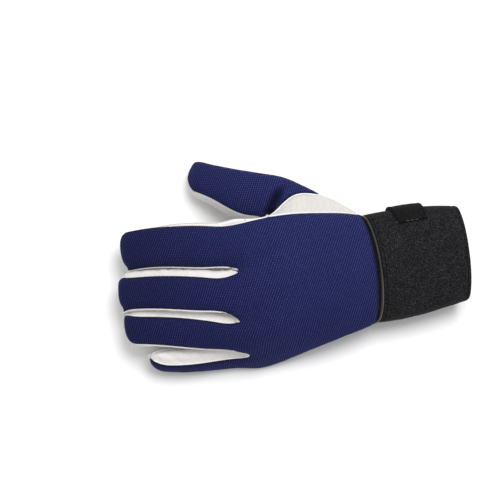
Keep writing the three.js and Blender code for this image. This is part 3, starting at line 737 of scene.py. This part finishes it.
def rounded(node, level, sharp=48, hold=0.8):
    """A CAD solid with soft edges: smooth faces and firmly rounded corners, and its sharp edges as points."""
    bm = merged(node)
    bmesh.ops.join_triangles(bm, faces=bm.faces, angle_face_threshold=math.radians(40),
                             angle_shape_threshold=math.radians(50))
    hard = bm.edges.layers.float.new("crease_edge")
    points = []
    for edge in bm.edges:
        if edge.calc_face_angle(0) > math.radians(sharp):
            edge[hard] = hold
            a, b = edge.verts[0].co, edge.verts[1].co
            steps = max(1, int((b - a).length / (0.5 * MM)))
            points += [a.lerp(b, k / steps) for k in range(steps)]
    return smoothed(bm, node + "_soft", level), points


def cuff_piece(node, level, lift, slot, mat):
    """A solid of the cuff with soft edges, which keeps how far each point is turned to the wrist side; this
    places the binding's painted highlight.
    """
    mesh, points = rounded(node, level)
    normals = lifted(mesh, tree_of(points), lift)
    turned = mesh.attributes.new("turned", "FLOAT", "POINT")
    for k, n in enumerate(normals):
        turned.data[k].value = n.x
    made = piece(node + "_soft", mesh, slot, node)
    made.data.materials.append(mat)
    return made


def black_cloth(name, base, speck, hem):
    """Black knitted face of neoprene: tiny loops with grey specks, a sunk stitched hem line with painted shade
    in it, and painted shade towards the thumb side.
    """
    mat, shader = material(name, 0.9, Sheen_Weight=0.02, Sheen_Roughness=0.5, Specular_IOR_Level=0.06)
    here = place_in(mat)
    turned_here = add(mat, "ShaderNodeMapping", {"Vector": here,
                                                 "Rotation": (0, 0, math.radians(12))}).outputs[0]
    axes = add(mat, "ShaderNodeSeparateXYZ", {0: turned_here}).outputs
    wales = calc(mat, "SINE", calc(mat, "MULTIPLY", axes[0], 2 * math.pi / (0.75 * MM)))
    rows = calc(mat, "MULTIPLY_ADD", axes[2], 0.7, axes[1])
    rows = calc(mat, "SINE", calc(mat, "MULTIPLY", rows, 2 * math.pi / (0.65 * MM)))
    loops = remap(mat, calc(mat, "MULTIPLY", wales, rows), -1.0, 1.0)
    fuzz = noise_of(mat, here, 0.33 * MM, 2.0, 0.7)
    cloudy = noise_of(mat, here, 12 * MM, 2.0)
    colour = blend(mat, remap(mat, loops, 0.2, 0.8), tuple(0.45 * c for c in base), base)
    colour = blend(mat, remap(mat, fuzz, 0.5, 0.68, 0.0, 0.9), colour, speck)
    colour = blend(mat, remap(mat, cloudy, 0.3, 0.7, 0.0, 0.30), colour, tuple(0.4 * c for c in base))
    # Painted shade: the cloth is darkened towards the thumb side, the strap's top.
    shade_toward_thumb = add(mat, "ShaderNodeSeparateXYZ", {0: here}).outputs[1]
    colour = blend(mat, remap(mat, shade_toward_thumb, 0.0, 34 * MM, 0.0, 0.75), colour, tuple(0.35 * c for c in base))
    off_hem = calc(mat, "ABSOLUTE", calc(mat, "SUBTRACT", kept(mat, "edge"), hem))
    sunk = calc(mat, "SUBTRACT", 1.0, remap(mat, off_hem, 0.0, 0.45 * MM))
    # Painted shade in the sunk hem line.
    colour = blend(mat, calc(mat, "MULTIPLY", sunk, 0.75), colour, tuple(0.2 * c for c in base))
    join(mat, colour, shader, "Base Color")
    raised = calc(mat, "MULTIPLY_ADD", fuzz, 0.6, loops)
    looped = bump(mat, 0.5, 0.2 * MM, raised)
    dip = calc(mat, "MULTIPLY", sunk, -1.0)
    join(mat, bump(mat, 0.8, 0.4 * MM, dip, Normal=looped), shader, "Normal")
    return mat


band_cloth = black_cloth("black_elastic", (0.006, 0.0058, 0.0060), (0.022, 0.021, 0.021), 2.2 * MM)
strap_cloth = black_cloth("black_neoprene_face", (0.0085, 0.008, 0.009), (0.066, 0.062, 0.068), 2.2 * MM)


def band_lift(p, n, away):
    return 0.15 * wave(p, 8 * MM, 3.0) * MM


cuff_piece("cuff_band", 1, band_lift, "black_neoprene", band_cloth)

# Wrist strap.
# A wide strip of neoprene faced with black loop knit, wrapped once round the cuff. It is hemmed along both
# long edges, and its free end closes under the palm side.


def strap_lift(p, n, away):
    soft = 0.35 * wave(p, 17 * MM, 2.0) + 0.12 * wave(p, 6 * MM, 4.0)
    return (soft * min(1, away / (3 * MM)) - 0.15 * fade(away - 2.4 * MM, 0.8 * MM)) * MM


cuff_piece("wrist_strap", 2, strap_lift, "black_neoprene", strap_cloth)

# Free end of the strap, under the palm side.
# The outer wing of the wrap, of the same faced neoprene with hemmed edges.
cuff_piece("strap_wing", 2, strap_lift, "black_neoprene", strap_cloth)

# Edge binding of the strap.
# A folded grey-black tape over the strap's finger-side edge, like a thin piping, with a painted highlight along
# its fold.
binding, binding_shader = material("binding_tape", 0.6, Sheen_Weight=0.1)
tone = noise_of(binding, place_in(binding), 0.6 * MM, 3.0)
tape = blend(binding, remap(binding, tone, 0.3, 0.7), (0.008, 0.008, 0.007), (0.020, 0.019, 0.017))
# Painted highlight: a light line where the tape's outside turns towards the wrist.
turn = calc(binding, "SUBTRACT", kept(binding, "turned"), 0.6)
painted_highlight_line = calc(binding, "SUBTRACT", 1.0, remap(binding, calc(binding, "ABSOLUTE", turn), 0.05, 0.22))
join(binding, blend(binding, painted_highlight_line, tape, (0.13, 0.128, 0.125)), binding_shader, "Base Color")
join(binding, bump(binding, 0.4, 0.15 * MM, tone), binding_shader, "Normal")


def no_lift(p, n, away):
    return 0.0


cuff_piece("strap_binding", 2, no_lift, "edge_binding", binding)

# Hook tab.
# A short tab of the same faced neoprene, stitched down along its lower edge on the thumb side of the strap,
# with hook tape under it.
tab_cloth = black_cloth("black_tab_face", (0.0075, 0.0075, 0.008), (0.026, 0.026, 0.027), 1.6 * MM)


def tab_lift(p, n, away):
    return strap_lift(p, n, away) - 0.55 * MM * max(0, n.z) * min(1, away / (3 * MM))


tab = cuff_piece("hook_tab", 2, tab_lift, "black_neoprene", tab_cloth)

# Loop patch.
# A rectangle of grey brushed loop tape sewn to the free end of the strap, where the hook tape grips.
patch_cloth = black_cloth("grey_loop_tape", (0.060, 0.058, 0.062), (0.13, 0.125, 0.13), 1.2 * MM)
cuff_piece("loop_patch", 2, no_lift, "loop_fabric", patch_cloth)

# Stitches.
# Polyester thread sewn by machine: pale on the inset lines of the finger fronts, and grey in a few long stitches
# along the lower edge of the hook tab.


def stitches(name, lines, pitch, length, radius, slot, mat):
    """Short rounded stitches end to end along lines of (point, normal)."""
    bm = bmesh.new()
    for line in lines:
        spare = 0.0
        for (a, n), (b, _) in zip(line, line[1:]):
            span = (b - a).length
            if span > 4 * MM or span < 1e-7:
                continue
            while spare < span:
                way = (b - a) / span
                side = n.cross(way).normalized()
                turn = Matrix((side, way.cross(side), way)).transposed().to_4x4()
                place = Matrix.Translation(a + way * spare + n * 0.05 * MM)
                size = Matrix.Diagonal((radius, radius * 0.8, length / 2, 1))
                bmesh.ops.create_uvsphere(bm, u_segments=6, v_segments=4, radius=1, matrix=place @ turn @ size)
                spare += pitch
            spare -= span
    mesh = bpy.data.meshes.new(name)
    bm.to_mesh(mesh)
    bm.free()
    mesh.shade_smooth()
    made = piece(name, mesh, slot)
    made.data.materials.append(mat)
    return made


pale_thread = thread_of("pale_thread", 0.55, 1.2 * MM, (0.33, 0.31, 0.30), (0.52, 0.50, 0.48))
stitches("palm_stitches", palm_lines, 2.3 * MM, 1.9 * MM, 0.2 * MM, "white_leather", pale_thread)
grey_thread = thread_of("grey_thread", 0.6, 1.0 * MM, (0.06, 0.06, 0.06), (0.20, 0.20, 0.20))
tab_tree = surface_of(tab)
TAB_LINE = ((397, 221.2), (405, 219.9), (413, 218.7), (420, 217.7))
sewn_down = [photo_hit(x, y, tab_tree) for x, y in TAB_LINE]
sewn_down = [(at, normal) for at, normal in sewn_down if at is not None]
finer = [(a[0].lerp(b[0], k / 6), a[1]) for a, b in zip(sewn_down, sewn_down[1:]) for k in range(6)]
stitches("tab_stitches", [finer + sewn_down[-1:]], 3.4 * MM, 2.8 * MM, 0.22 * MM, "black_neoprene", grey_thread)

# Floor and light.
# A plain white surface in soft studio light from the upper right, so that the shadow falls below the glove.
bm = bmesh.new()
bmesh.ops.create_grid(bm, x_segments=1, y_segments=1, size=3.0, matrix=Matrix.Translation((0, 0, -0.05 * MM)))
floor_mesh = bpy.data.meshes.new("floor")
bm.to_mesh(floor_mesh)
bm.free()
floor = bpy.data.objects.new("floor", floor_mesh)
bpy.context.scene.collection.objects.link(floor)
paper, paper_shader = material("white_paper", 0.9, Specular_IOR_Level=0.1)
paper_shader.inputs["Base Color"].default_value = (0.92, 0.92, 0.92, 1)
floor_mesh.materials.append(paper)
world = bpy.data.worlds.new("studio")
bpy.context.scene.world = world
world.use_nodes = True
world.node_tree.nodes["Background"].inputs["Color"].default_value = (1, 1, 1, 1)
world.node_tree.nodes["Background"].inputs["Strength"].default_value = 0.70
lamp = bpy.data.lights.new("key", "AREA")
lamp.shape = "DISK"
lamp.size = 0.7
lamp.energy = 9.5
key = bpy.data.objects.new("key", lamp)
key.location = (0.30, 0.30, 1.0)
key.rotation_euler = (Vector((-0.02, 0, 0.03)) - key.location).to_track_quat("-Z", "Y").to_euler()
bpy.context.scene.collection.objects.link(key)
